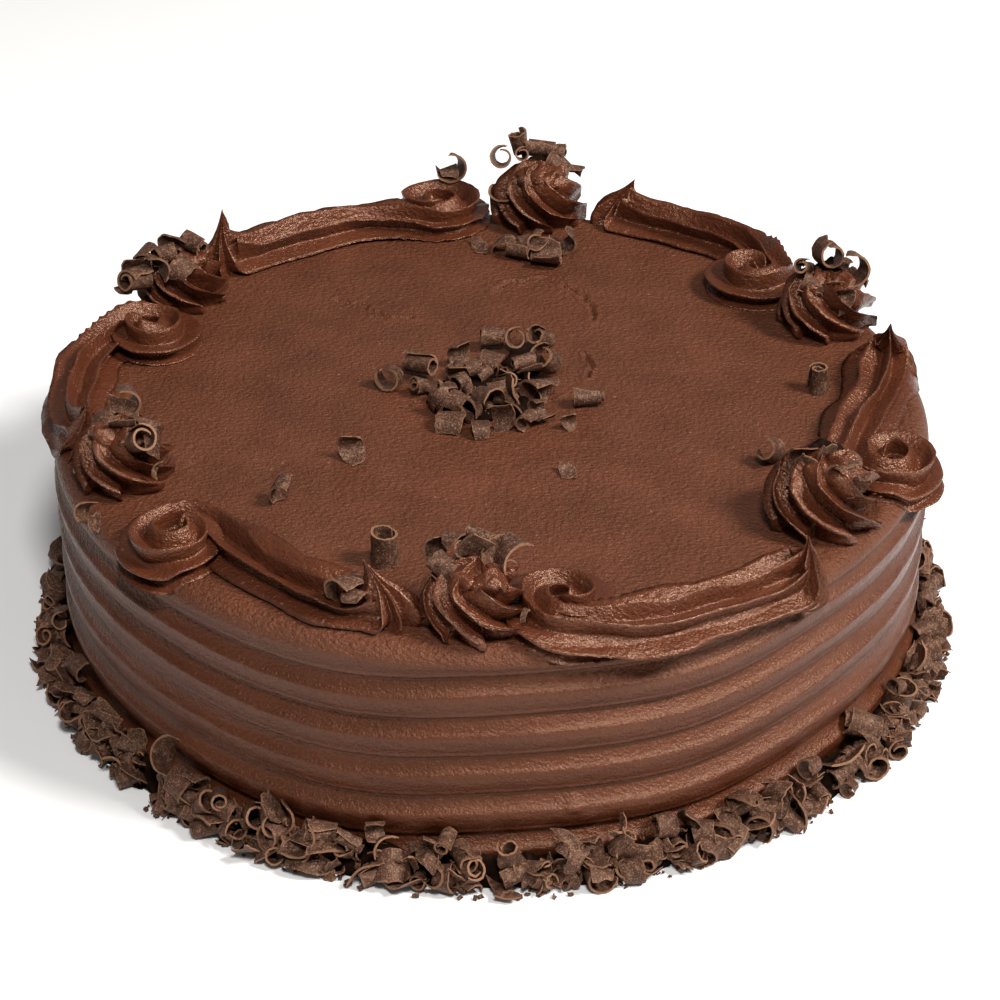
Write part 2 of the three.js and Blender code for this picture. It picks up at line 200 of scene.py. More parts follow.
# Heaps on the stars: places from the middle of each star
STAR_CURLS = (
    (
        ("half", (-9, 10, 16), 40, 10, 100, 1.1), ("half", (-5, 8, 19), 330, 0, 160, 0.95),
        ("tube", (1, 8, 19.5), 340, 10, 170, 1.0), ("flake", (-1, 1, 19), 10, 20, 100, 1.2),
        ("tube", (-7, 1, 14.5), 325, 22, 200, 1.35), ("sliver", (-4, 4, 18), 80, 30, 60, 1.0),
        ("half", (8, 5, 18), 300, -10, 190, 1.35), ("flake", (4, 2, 19), 30, 30, 60, 0.9),
        ("sliver", (7, 1, 16), 120, 0, 150, 0.9), ("sliver", (12, -8, 8), 160, 0, 170, 0.7),
    ),
    (
        ("half", (-6, 1, 18), 20, 0, 95, 1.15), ("flake", (-6, -4, 16.5), 340, 10, 70, 1.1),
        ("flake", (0, -2, 20), 30, 0, 90, 1.1), ("sliver", (1, -6, 17.5), 60, 10, 90, 1.2),
        ("half", (4, -5, 18.5), 30, 0, 130, 1.0), ("flake", (7, -9, 15), 340, 20, 75, 0.9),
        ("half", (-2, 3, 17), 100, 0, 180, 0.9), ("hook", (-9, 3, 13), 60, 0, 200, 0.9),
        ("sliver", (9, -3, 14), 30, 0, 120, 1.0),
    ),
    (
        ("ring", (0, 2, 22), 285, -12, 10, 1.3), ("tube", (-7, 1, 18), 245, -30, 40, 1.1),
        ("tube", (-4, -4, 14.5), 340, 12, 190, 1.35), ("half", (1, -4, 16.5), 0, 0, 0, 1.0),
        ("hook", (7, -3, 20), 280, -10, 75, 1.45), ("flake", (4, -8, 12.5), 330, 30, 60, 0.9),
        ("half", (3, 3, 17.5), 60, 0, 150, 0.9), ("half", (8, 3, 14), 120, 0, 200, 1.0),
    ),
    (
        ("ring", (-11, 5, 18.5), 265, -20, 0, 1.1), ("tube", (-6, 7, 22), 0, 80, 0, 1.1),
        ("tube", (-5, 4, 20), 275, -20, 0, 0.85), ("tube", (1, 6, 21), 355, 5, 120, 1.15),
        ("sliver", (7, 6, 20.5), 350, 0, 150, 1.2), ("hook", (6, 2, 16.5), 330, 30, 200, 1.3),
        ("half", (11, 4, 15), 20, 10, 150, 1.0), ("sliver", (-13, -2, 9), 80, 60, 60, 1.6),
        ("half", (2, 9, 17), 70, 0, 190, 1.0),
    ),
    (
        ("tube", (-12, -13, 13), 235, -15, 30, 1.45), ("half", (-6, -10, 17), 300, 0, 130, 1.1),
        ("hook", (-4, -8, 19), 20, 0, 150, 1.0), ("half", (-2, -3, 20), 20, 20, 120, 1.0),
        ("tube", (4, -2, 19), 325, 12, 60, 1.2), ("half", (2, -9, 15), 330, 20, 180, 1.1),
        ("half", (-10, -7, 17.5), 60, 0, 120, 1.3), ("flake", (-13, -10, 14), 30, 0, 100, 1.0),
        ("half", (-15, -13, 10), 20, 0, 170, 1.0), ("hook", (-1, -1, 16), 90, 0, 190, 1.0),
    ),
    (
        ("hook", (2, 4, 21.5), 285, -10, 80, 1.25), ("half", (1, -1, 19.5), 350, 0, 10, 1.15),
        ("tube", (5, -8, 16), 125, 35, 30, 1.25), ("half", (6, -2, 18), 30, 20, 150, 1.0),
        ("half", (9, -6, 14.5), 260, 60, 90, 1.25), ("sliver", (10, -11, 9.5), 40, 20, 90, 1.0),
        ("half", (-3, 0, 17), 100, 0, 180, 1.0), ("hook", (-2, 5, 17), 60, 0, 180, 0.9),
    ),
)

# Heap before the back star, and curls on the ropes
BACK_CURLS = (
    ("half", (3, 90, 3.2), 60, 0, 150, 1.0),
    ("tube", (8, 86, 3.0), 340, 0, 60, 1.0),
    ("hook", (13, 88, 5.0), 75, 15, 60, 1.1),
    ("half", (16, 83, 3.4), 350, 0, 10, 1.35),
    ("hook", (22, 90, 4.0), 280, 20, 40, 1.2),
    ("half", (10, 91, 4.0), 20, 0, 170, 1.0),
    ("flake", (-4, 93, 1.0), 350, 0, 10, 0.95),
    ("half", (17, 90, 3.0), 100, 0, 160, 0.9),
)
SCATTERED_CURLS = (
    ("half", (-36, -104, 9.5), 40, 20, 130, 1.2),
    ("half", (-33, -107, 8.5), 330, 0, 170, 0.9),
    ("hook", (-12, 128, 10.5), 280, -10, 60, 1.35),
    ("half", (-14, 128, 9.0), 20, 0, 160, 0.9),
    ("half", (-104, -62, 4.0), 60, 30, 90, 0.9),
    ("flake", (-101, -66, 3.0), 30, 20, 60, 0.9),
)

# Single curls on the top, each for its own node
LOOSE_CURLS = {
    "loose_curl_left_1": ("half", (-37, -30, 3.0), 15, 0, 60, 1.15),
    "loose_curl_left_2": ("half", (-55, -52, 3.2), 70, 0, 120, 1.1),
    "loose_curl_right_1": ("tube", (90, 6, 4.2), 95, 90, 0, 1.15),
    "loose_curl_right_2": ("hook", (74, -33, 4.0), 235, -30, 60, 1.2),
    "loose_curl_front": ("tube", (-27, -80, 4.6), 40, 90, 0, 1.35),
    "loose_curl_middle_1": ("tube", (26.5, -1, 2.9), 5, 0, 100, 1.05),
    "loose_curl_middle_2": ("half", (21, -14, 1.8), 20, 0, 80, 0.75),
    "loose_curl_middle_3": ("flake", (20, -37, 0.8), 10, 0, 20, 0.8),
}

# Ring of curls round the foot, in sectors; heights above the table
RING_SECTORS = 8
RING_ROWS = (
    {"reach": 127.6, "height": 2.4, "count": 14, "sizes": (0.6, 1.15)},
    {"reach": 126.4, "height": 4.4, "count": 14, "sizes": (0.8, 1.4)},
    {"reach": 125.0, "height": 7.2, "count": 13, "sizes": (0.8, 1.45)},
    {"reach": 123.6, "height": 10.2, "count": 10, "sizes": (0.8, 1.45)},
    {"reach": 122.8, "height": 13.5, "count": 4, "sizes": (0.8, 1.4)},
)
RING_SCRAPS = 60
RING_CRUMBS = 40
# Painted shade: reach and height of the near-black wedge under the ring's curls
RING_CORE = ((119.0, 0.0), (125.0, 0.0), (124.4, 2.0), (123.0, 4.4), (121.2, 6.6), (119.0, 7.2))

# Icing: colours, roughness from and to, depths of relief in metres, patterns in repeats a metre
SPREAD_COLORS = ((0.064, 0.0185, 0.0085), (0.094, 0.0290, 0.0135))
PIPED_COLORS = ((0.054, 0.0143, 0.0062), (0.079, 0.0218, 0.0095))
# Painted shade: below the top, the icing's colour gives way by this share to this darker, deeper brown, for
# the lesser light on the side
SIDE_PAINTED_SHADE = (0.046, 0.0095, 0.0025)
ICING_SPECK = (0.24, 0.12, 0.075)
WARM_GLOSS = (1.0, 0.66, 0.48)
SIDE_GRAIN = 0.3
SPREAD_GRAIN = 1.0
PIPED_GRAIN = 0.55
SPREAD_ROUGHNESS = (0.24, 0.42)
PIPED_ROUGHNESS = (0.17, 0.35)
SPREAD_GLOSS = 0.43
PIPED_GLOSS = 0.6
DULLER_TOP = 0.14
STREAK_SPIN = -24
SIDE_SHADE_SHARE = 0.55
SIDE_TO_TOP = (0.060, 0.067)
PATCH_SCALE = 60.0
LUMP_SCALE = 330.0
LUMP_RELIEF = 0.0005
GRAIN_SCALE = 1500.0
GRAIN_RELIEF = 0.0003
STREAK_SCALE = 1100.0
STREAK_STRETCH = (1.5, 1.0, 1.0)
STREAK_RELIEF = 0.0011
SPECK_SCALE = 160.0
SPECK_RADIUS = 0.09
SPECK_SHARE = 0.7

# Chocolate: the painted shade between curls, the curls, their scratches and their broken edges
GAP_PAINTED_SHADE_DARK = (0.004, 0.0015, 0.0008)
GAP_PAINTED_SHADE_LIGHT = (0.012, 0.005, 0.0025)
GAP_SCALE = 500.0
GAP_ROUGHNESS = 0.95
GAP_GLOSS = 0.05
CURL_DARK = (0.017, 0.0070, 0.0042)
CURL_LIGHT = (0.051, 0.0222, 0.0142)
CURL_SCRATCH = (0.31, 0.170, 0.112)
CURL_EDGE = (0.25, 0.125, 0.070)
CURL_ROUGHNESS = (0.46, 0.66)
CURL_GLOSS = 0.3
CURL_PATCH_SCALE = 330.0
CURL_BLOOM_SCALE = 620.0
CURL_BLOOM_RELIEF = 0.0004
CURL_SCRATCH_SCALE = 2400.0
CURL_SCRATCH_RELIEF = 0.00015

# Studio, in metres
FLOOR_DARK = (0.73, 0.73, 0.73)
FLOOR_LIGHT = (0.76, 0.76, 0.76)
FLOOR_SCALE = 3.0
FLOOR_ROUGHNESS = 0.9
FLOOR_HALF = 6.0
WORLD_STRENGTH = 0.22
LIGHT_AIM = (0, 0, 0.04)
KEY_PLACE = (1.24, -0.45, 1.41)
KEY_SIZE = 0.5
KEY_POWER = 58
KEY_COLOR = (1.0, 0.98, 0.95)
FRONT_PLACE = (0.07, -0.75, 1.10)
FRONT_SIZE = 0.25
FRONT_POWER = 14
FRONT_COLOR = (1.0, 0.98, 0.96)

# Camera: place and tilt worked out from the outline of the cake in the photo, for a square picture
CAMERA_PLACE = (2.2, -680.0, 463.0)
CAMERA_DOWN = 32.1
CAMERA_FOCAL_PIXELS = 2860.0
PICTURE_PIXELS = 1000.0
SENSOR = 36.0


def polar(angle, reach):
    """Points in the plane from angles in degrees and distances, as an array with a last axis of 2."""
    turn = np.radians(angle)
    return np.stack([reach * np.cos(turn), reach * np.sin(turn)], axis=-1)


def lattice(ix, iy, iz, seed):
    """Pseudo-random values from -1 to 1 on whole-number points."""
    mixed = (ix * 73856093) ^ (iy * 19349663) ^ (iz * 83492791) ^ (seed * 2654435)
    mixed = (mixed ^ (mixed >> 13)) * 1274126177
    mixed = (mixed ^ (mixed >> 16)) & 0xFFFF
    return mixed / 32767.5 - 1.0


def smooth_noise(points, size, seed):
    """Smooth noise from -1 to 1 at an array of points, with bumps of about the given size."""
    scaled = np.asarray(points, float) / size
    cell = np.floor(scaled).astype(np.int64)
    part = scaled - cell
    part = part * part * (3 - 2 * part)
    total = 0.0
    for corner in range(8):
        offset = np.array([corner & 1, (corner >> 1) & 1, corner >> 2])
        weight = np.prod(np.where(offset == 1, part, 1 - part), axis=-1)
        place = cell + offset
        total = total + weight * lattice(place[..., 0], place[..., 1], place[..., 2], seed)
    return total


def roughen(points, amount, size, seed):
    """Moves points a little in every direction, alike for points that lie together."""
    shift = np.stack([smooth_noise(points, size, seed + axis) for axis in range(3)], axis=-1)
    return points + np.asarray(amount)[..., None] * shift


def grid_faces(rows, columns, closed):
    """Four-sided faces between neighbouring rows of points; closed rows join end to start."""
    across = columns if closed else columns - 1
    row, column = np.meshgrid(np.arange(rows - 1), np.arange(across), indexing="ij")
    beside = (column + 1) % columns
    faces = np.stack([
        row * columns + column,
        row * columns + beside,
        (row + 1) * columns + beside,
        (row + 1) * columns + column,
    ], axis=-1)
    return faces.reshape(-1, 4).tolist()


def make_object(name, points, faces, material):
    """Smooth-shaded mesh object from points in millimetres, riding on the cake's only body."""
    mesh = bpy.data.meshes.new(name)
    mesh.from_pydata((np.asarray(points).reshape(-1, 3) * MM).tolist(), [], faces)
    mesh.polygons.foreach_set("use_smooth", [True] * len(mesh.polygons))
    mesh.materials.append(material)
    piece = bpy.data.objects.new(name, mesh)
    bpy.context.scene.collection.objects.link(piece)
    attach(piece, BODY)
    return piece


def capped_rows(rows):
    """Closed skin over loops of points: one face at each end, turned right side out."""
    count, columns = rows.shape[:2]
    faces = grid_faces(count, columns, True)
    last = (count - 1) * columns
    points = rows.reshape(-1, 3)
    corner = points[np.array(faces)]
    volume = np.einsum("ij,ij->i", corner[:, 0], np.cross(corner[:, 1], corner[:, 2])).sum()
    faces.append(list(range(columns))[::-1])
    faces.append([last + i for i in range(columns)])
    if volume < 0:
        faces = [face[::-1] for face in faces]
    return points, faces


def joined(parts):
    """Points and faces of several closed skins as one list each."""
    points, faces, count = [], [], 0
    for part in parts:
        points.append(part[0])
        faces.extend([[index + count for index in face] for face in part[1]])
        count += len(part[0])
    return np.concatenate(points), faces


# Cake body

def rim_drop(reach):
    """How far the cake's surface lies below its flat top, at a distance from the middle."""
    over = np.clip(reach - (CAKE_RADIUS - RIM_ROUNDING), 0, RIM_ROUNDING)
    return RIM_ROUNDING - np.sqrt(RIM_ROUNDING ** 2 - over ** 2)


def comb_hollow(angle, height):
    """How deep the comb has cut at this place on the side, from 0 on a crest to 1 in a groove."""
    near = [np.interp((angle + side) % 360, *zip(*COMB_DRIFT)) for side in (-6, -3, 0, 3, 6)]
    drift = sum(near) / len(near) + 0.2 * np.sin(7 * np.radians(angle))
    part = ((height - COMB_FIRST - drift) / COMB_PITCH) % 1.0
    below = np.clip((COMB_CREST - part) / COMB_CREST, 0, 1)
    above = np.clip((part - COMB_CREST) / (1 - COMB_CREST), 0, 1)
    second_line = COMB_SECOND_LINE * np.exp(-((part - 0.12) / 0.04) ** 2)
    return np.maximum(below ** 2.2, above ** 0.6) - second_line


def crease_depth(flat):
    """Depth of the creases that the spatula left in the top."""
    depth = np.zeros(flat.shape[:-1])
    place = np.concatenate([flat, flat[..., :1] * 0], axis=-1)
    flat = flat + np.stack([smooth_noise(place, 3.0, 14), smooth_noise(place, 3.0, 15)], axis=-1)
    for crease in CREASES:
        near = np.full(flat.shape[:-1], 1e9)
        for start, end in zip(crease, crease[1:]):
            start = np.array(start, float)
            along = np.array(end, float) - start
            part = np.clip(((flat - start) @ along) / (along @ along), 0, 1)
            near = np.minimum(near, np.linalg.norm(flat - start - part[..., None] * along, axis=-1))
        depth += CREASE_DEPTH * np.exp(-(near / CREASE_WIDTH) ** 2)
        depth -= 0.4 * CREASE_DEPTH * np.exp(-((near - 2 * CREASE_WIDTH) / CREASE_WIDTH) ** 2)
    return depth


def body_outline():
    """Reach and height of each loop of points, from the underside's edge to the middle of the top."""
    rim_bottom = CAKE_HEIGHT - RIM_ROUNDING
    outline = [(CAKE_RADIUS, height) for height in np.arange(0, rim_bottom, SIDE_STEP)]
    for turn in np.radians(np.arange(0, 90, RIM_STEP)):
        reach = CAKE_RADIUS - RIM_ROUNDING * (1 - math.cos(turn))
        outline.append((reach, rim_bottom + RIM_ROUNDING * math.sin(turn)))
    inner, outer = CREASED
    stretches = (
        (CAKE_RADIUS - RIM_ROUNDING, outer, TOP_STEP),
        (outer, inner, CREASED_STEP),
        (inner, LAST_LOOP, TOP_STEP),
    )
    for start, end, step in stretches:
        outline += [(reach, CAKE_HEIGHT) for reach in np.arange(start, end, -step)]
    return outline


def side_inward(place, angle):
    """How far the side is pressed in at each point: grooves, unevenness and the scuff."""
    height = place[..., 2]
    streaked = place * np.array([0.22, 0.22, 1.0])
    fade = np.clip((CAKE_HEIGHT - 2 - height) / 4, 0, 1)
    hollow = comb_hollow(angle, height)
    inward = COMB_DEPTH * (1 + COMB_UNEVEN * smooth_noise(streaked, 9, 5)) * fade * hollow
    inward += SIDE_WAVES * smooth_noise(streaked, 14, 6) + SIDE_RIPPLES * smooth_noise(streaked, 2.6, 7)
    lip = np.exp(-(hollow / 0.4) ** 2) * fade
    inward += LIP_ROUGHNESS * lip * smooth_noise(place * np.array([0.6, 0.6, 1.0]), 1.3, 13)
    scuffed = np.exp(-(np.linalg.norm(place - np.array(SCUFF), axis=-1) / SCUFF_REACH) ** 2)
    inward -= scuffed * (0.5 + 0.9 * smooth_noise(place, 2.0, 12))
    return inward * np.clip((CAKE_HEIGHT - height) / RIM_ROUNDING, 0, 1)


def body_rows():
    """Loops of points over the combed side, the rounded rim and the nearly flat top."""
    outline = np.array(body_outline())
    reach = np.repeat(outline[:, :1], TURN_STEPS, axis=1)
    height = np.repeat(outline[:, 1:], TURN_STEPS, axis=1)
    angle = np.broadcast_to(np.arange(TURN_STEPS) * 360.0 / TURN_STEPS, reach.shape)
    flat = polar(angle, reach)
    place = np.concatenate([flat, height[..., None]], axis=-1)
    lift = 0.35 * smooth_noise(place, 38, 9) + 0.16 * smooth_noise(place, 11, 10)
    lift += 0.05 * smooth_noise(place, 3.2, 11) - crease_depth(flat)
    lift *= np.clip((height - CAKE_HEIGHT + RIM_ROUNDING) / RIM_ROUNDING, 0, 1)
    scale = 1 - side_inward(place, angle) / np.maximum(reach, 1)
    return np.concatenate([flat * scale[..., None], (height + lift)[..., None]], axis=-1)


def make_body(material):
    """The iced cake without its piping."""
    points, faces = capped_rows(body_rows())
    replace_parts(make_object("icing_cake", points, faces, material), "cake_body")


# Piped stars

def star_rows(star, seed):
    """Loops of points round a star, from its foot to its top: saw-toothed ribbons that sweep round."""
    size = star["size"]
    up = np.linspace(0, 1, STAR_ROWS)[:, None] ** 0.9
    rise = np.clip((up - 0.2) / 0.8, 0, 1)
    turn = np.arange(STAR_POINTS)[None, :] / STAR_POINTS
    along = (turn * STAR_RIBBONS) % 1.0
    index = np.floor(turn * STAR_RIBBONS).astype(int)
    uneven = lattice(index, index * 0 + seed, index * 0, 3)
    longer = lattice(index, index * 0 + seed, index * 0, 4)
    rising = (along / STAR_STEEP) ** 0.6
    falling = ((1 - along) / (1 - STAR_STEEP)) ** 0.7
    hollow = np.where(along < STAR_STEEP, rising, falling)
    depth = (STAR_DEPTH + 0.06 * uneven) * (1 - 0.55 * up ** 2)
    across = np.maximum((1 - up ** 3.4) ** 0.6, 0.02)
    blunt = 1 - 0.16 * (1 - hollow) * np.exp(-(up / 0.07) ** 2)
    out = (1 - depth * hollow) * (1 + 0.07 * longer * (1 - up))
    swept = STAR_TWIST * (1 - rise) ** 1.5
    hook = 9 * (1 - hollow) ** 2 * (1 - up)
    angle = star["start"] + turn * 360 + swept + hook + 6 * uneven * (1 - up)
    flat = polar(angle, STAR_RADIUS * size * across * blunt * out) + polar(star["angle"], star["reach"])
    foot = CAKE_HEIGHT - 0.5 - rim_drop(np.hypot(flat[..., 0], flat[..., 1])) * (1 - up)
    curled_foot = 1.2 * (1 - hollow) * np.clip(longer, 0, 1) * (1 - up)
    raised = up * STAR_HEIGHT * size * (1 - 0.06 * hollow) + curled_foot
    rows = np.concatenate([flat, (foot + raised)[..., None]], axis=-1)
    rows = roughen(rows, 0.4 + 1.0 * np.clip(up * 2 - 1, 0, 1) + 0 * turn, 4.5, 20 + seed)
    return roughen(rows, np.full(rows.shape[:2], 0.14), 1.6, 40 + seed)


def lump_rows(place, size, seed):
    """Loops of points round a rough lump of icing."""
    up = np.linspace(-88, 88, LUMP_ROWS)[:, None]
    angle = np.arange(LUMP_POINTS)[None, :] * 360 / LUMP_POINTS
    flat = polar(angle, size * np.cos(np.radians(up))) + place[:2]
    height = place[2] + 0.8 * size * np.sin(np.radians(up)) + 0 * angle
    rows = np.concatenate([flat, height[..., None]], axis=-1)
    rows = roughen(rows, np.full(rows.shape[:2], 0.5 * size), 2.8, seed)
    return roughen(rows, np.full(rows.shape[:2], 0.5), 1.3, seed + 5)


def make_stars(material):
    """Each star with the rough lumps of icing on its tip."""
    for number, star in enumerate(STARS, 1):
        parts = [capped_rows(star_rows(star, number))]
        middle = polar(star["angle"], star["reach"])
        top = CAKE_HEIGHT + STAR_HEIGHT * star["size"]
        for x, y, size in LUMPS:
            place = np.array([middle[0] + x, middle[1] + y, top - LUMP_SUNK])
            parts.append(capped_rows(lump_rows(place, size, 200 + 10 * number + int(size * 2))))
        points, faces = joined(parts)
        piece = make_object(f"icing_star_{number}", points, faces, material)
        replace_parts(piece, f"star_{number}")


# Piped scrolls

def smooth_curve(points, step):
    """Centripetal Catmull-Rom curve through the points, cut to equal steps: places and directions."""
    points = np.asarray(points, float)
    ends = np.concatenate([[2 * points[0] - points[1]], points, [2 * points[-1] - points[-2]]])
    dense = []
    for i in range(1, len(ends) - 2):
        a, b, c, d = ends[i - 1:i + 3]
        gaps = [math.sqrt(np.linalg.norm(q - p)) for p, q in ((a, b), (b, c), (c, d))]
        start = ((b - a) / gaps[0] - (c - a) / (gaps[0] + gaps[1]) + (c - b) / gaps[1]) * gaps[1]
        end = ((c - b) / gaps[1] - (d - b) / (gaps[1] + gaps[2]) + (d - c) / gaps[2]) * gaps[1]
        t = np.linspace(0, 1, CURVE_POINTS, endpoint=False)[:, None]
        bend = 3 * (c - b) - 2 * start - end
        twist = 2 * (b - c) + start + end
        dense.append(b + start * t + bend * t ** 2 + twist * t ** 3)
    dense = np.concatenate(dense + [points[-1:]])
    travelled = np.concatenate([[0], np.cumsum(np.linalg.norm(np.diff(dense, axis=0), axis=1))])
    at = np.linspace(0, travelled[-1], int(travelled[-1] / step))
    place = np.stack([np.interp(at, travelled, dense[:, axis]) for axis in range(2)], axis=-1)
    direction = np.gradient(place, axis=0)
    return at, place, direction / np.linalg.norm(direction, axis=1)[:, None]


def scroll_path(scroll):
    """Middle line of a scroll: winding out of the coil, then along the rim to the peak."""
    coil = scroll["coil"]
    centre = polar(coil, scroll["coil_reach"])
    direction = 1 if scroll["outer"] else -1
    leave = coil - 5 if scroll["outer"] else coil + 195
    points = []
    for part in np.linspace(-COIL_INNER, 1, 15):
        radius = COIL_RADIUS * np.interp(part, (-COIL_INNER, 0, 0.5), (0.2, 0.62, 1.0))
        points.append(polar(leave - direction * COIL_TURN * (1 - part), radius) + centre)
    first = coil + (7 if scroll["outer"] else 11)
    last = scroll["peak"] - 5
    stretches = max(2, round((last - first) / 9))
    for number, angle in enumerate(np.linspace(first, last, stretches + 1)):
        points.append(polar(angle, scroll["rope"] + scroll["swing"] / (1 + 0.5 * number ** 2)))
    points.append(polar(scroll["peak"], scroll["peak_reach"]))
    return smooth_curve(points, PATH_STEP)


def blunt_end(distance, length):
    """Scale from about a quarter to 1 that rounds off the end of a piped rope."""
    return np.sqrt(np.clip(1 - (1 - np.minimum(distance / length, 1)) ** 2, 0.06, 1))


def bent_end(scroll):
    """The rope's middle line as it turns up into the peak: steps, advance, height, slope and size."""
    step = np.linspace(0, 1, PEAK_STEPS + 1)[1:]
    along, _, height = scroll["tip"]
    advance = 2 * step * (1 - step) * PEAK_AHEAD + step ** 2 * along
    rise = step ** 2 * (height - ROPE_SKIRT)
    forward = (1 - step) * PEAK_AHEAD + step * (along - PEAK_AHEAD)
    slope = np.arctan2(step * (height - ROPE_SKIRT), forward)
    return step, advance, rise, slope, np.interp(step, *zip(*PEAK_PROFILE))


def scroll_spine(scroll):
    """Middle line with its peak: distance, place and direction, then step, rise, slope and size."""
    at, place, direction = scroll_path(scroll)
    step, advance, rise, slope, size = bent_end(scroll)
    across = scroll["tip"][1] * step ** 2
    last_side = np.array([direction[-1, 1], -direction[-1, 0]])
    bent = place[-1] + advance[:, None] * direction[-1] + across[:, None] * last_side
    place = np.concatenate([place, bent])
    direction = np.concatenate([direction, np.repeat(direction[-1:], len(step), axis=0)])
    straight = np.zeros(len(at))
    at = np.concatenate([at, at[-1] + advance + rise])
    pairs = ((straight, step), (straight, rise), (straight, slope), (straight + 1, size))
    return (at, place, direction, *[np.concatenate(pair)[:, None] for pair in pairs])


def rope_section(scroll, seed, place, from_start, step, size):
    """The rope's fluted skin about its middle line: how far sideways and up, and that as a share."""
    start = np.minimum(1, COIL_SLIM + from_start / 32) * blunt_end(from_start, 4)
    line = np.concatenate([place, from_start * 0], axis=-1)
    half_width = ROPE_HALF_WIDTH * start * size * (1 + 0.08 * smooth_noise(line, 13, seed))[:, None]
    height = (ROPE_HEIGHT - ROPE_SKIRT) * (0.85 + 0.15 * start) * blunt_end(from_start, 4) * size
    height = height * (1 + 0.1 * smooth_noise(line, 12, seed + 1))[:, None]
    turn = np.arange(ROPE_POINTS)[None, :] * 360 / ROPE_POINTS
    wound = COIL_FIN_TURN * np.clip(1 - (from_start - COIL_LENGTH) / 25, 0, 1)
    number = np.round((turn - wound) * ROPE_RIDGES / 180) % (2 * ROPE_RIDGES)
    along = np.stack(np.broadcast_arrays(from_start / 10, number * 3.1, number * 0 + seed), axis=-1)
    fin = smooth_noise(along, 1.0, seed + 2)
    leaned = np.radians(turn + (10 * np.sin(from_start / 20) + 5 * fin) * np.sin(np.radians(turn)))
    flute = np.abs(np.sin(np.radians((turn - wound) * ROPE_RIDGES))) ** 0.8
    out = (1 + 0.12 * fin) * (1 - (ROPE_FLUTE + 0.06 * fin) * flute)
    sideways = half_width * np.cos(leaned) * out
    sideways = sideways - scroll["apron"] * start * size * np.exp(-((turn - 180) / 16) ** 2)
    share = np.sin(leaned) * out
    upward = height * share * np.where(share < 0, 0.25 + 0.75 * np.clip(step / 0.3, 0, 1), 1)
    return sideways, upward, share


def scroll_rows(scroll, seed):
    """Loops of points round a scroll, from the middle of its coil to the tip of its peak."""
    at, place, direction, step, rise, slope, size = scroll_spine(scroll)
    from_start = at[:, None]
    sideways, upward, share = rope_section(scroll, seed, place, from_start, step, size)
    side = np.stack([direction[:, 1], -direction[:, 0]], axis=-1)
    flat = place[:, None, :] + side[:, None, :] * sideways[..., None]
    flat = flat - direction[:, None, :] * (upward * np.sin(slope))[..., None]
    z = ROPE_SKIRT + rise + upward * np.cos(slope) + scroll["tongue"] * np.exp(-(from_start / 7) ** 2)
    drop = np.minimum(rim_drop(np.hypot(flat[..., 0], flat[..., 1])), ROPE_SAG)
    drop = drop * (1 - np.clip(z / ROPE_HEIGHT, 0, 1))
    rows = np.concatenate([flat, (CAKE_HEIGHT - ROPE_SUNK + z - drop)[..., None]], axis=-1)
    tip = np.array([*place[-1], CAKE_HEIGHT - ROPE_SUNK + scroll["tip"][2]])
    near = np.clip(1 - np.abs(at[-PEAK_STEPS - 1] - from_start) / PEAK_LENGTH, 0, 1)
    near = np.where(step > 0, 1, near) ** 2
    pull = (PEAK_PULL + (1 - PEAK_PULL) * step) * near * np.clip(share, 0, 1) ** 1.3
    rows = rows + (tip - rows) * pull[..., None]
    full = np.broadcast_to(np.minimum(1, size * 2), rows.shape[:2])
    rows = roughen(rows, 0.35 * full, 6.0, 60 + seed)
    return roughen(rows, 0.13 * full, 1.6, 80 + seed)


def make_scrolls(material):
    """Each scroll as one rope."""
    for number, scroll in enumerate(SCROLLS, 1):
        points, faces = capped_rows(scroll_rows(scroll, number * 7))
        piece = make_object(f"icing_scroll_{number}", points, faces, material)
        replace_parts(piece, f"scroll_{number}")


# Chocolate curls

def turned(points, yaw, tilt, roll):
    """Points turned about X, then Y, then Z, by angles in degrees."""
    for axis, angle in ((0, roll), (1, tilt), (2, yaw)):
        cos, sin = math.cos(math.radians(angle)), math.sin(math.radians(angle))
        first, second = (axis + 1) % 3, (axis + 2) % 3
        moved = points.copy()
        moved[..., first] = cos * points[..., first] - sin * points[..., second]
        moved[..., second] = sin * points[..., first] + cos * points[..., second]
        points = moved
    return points


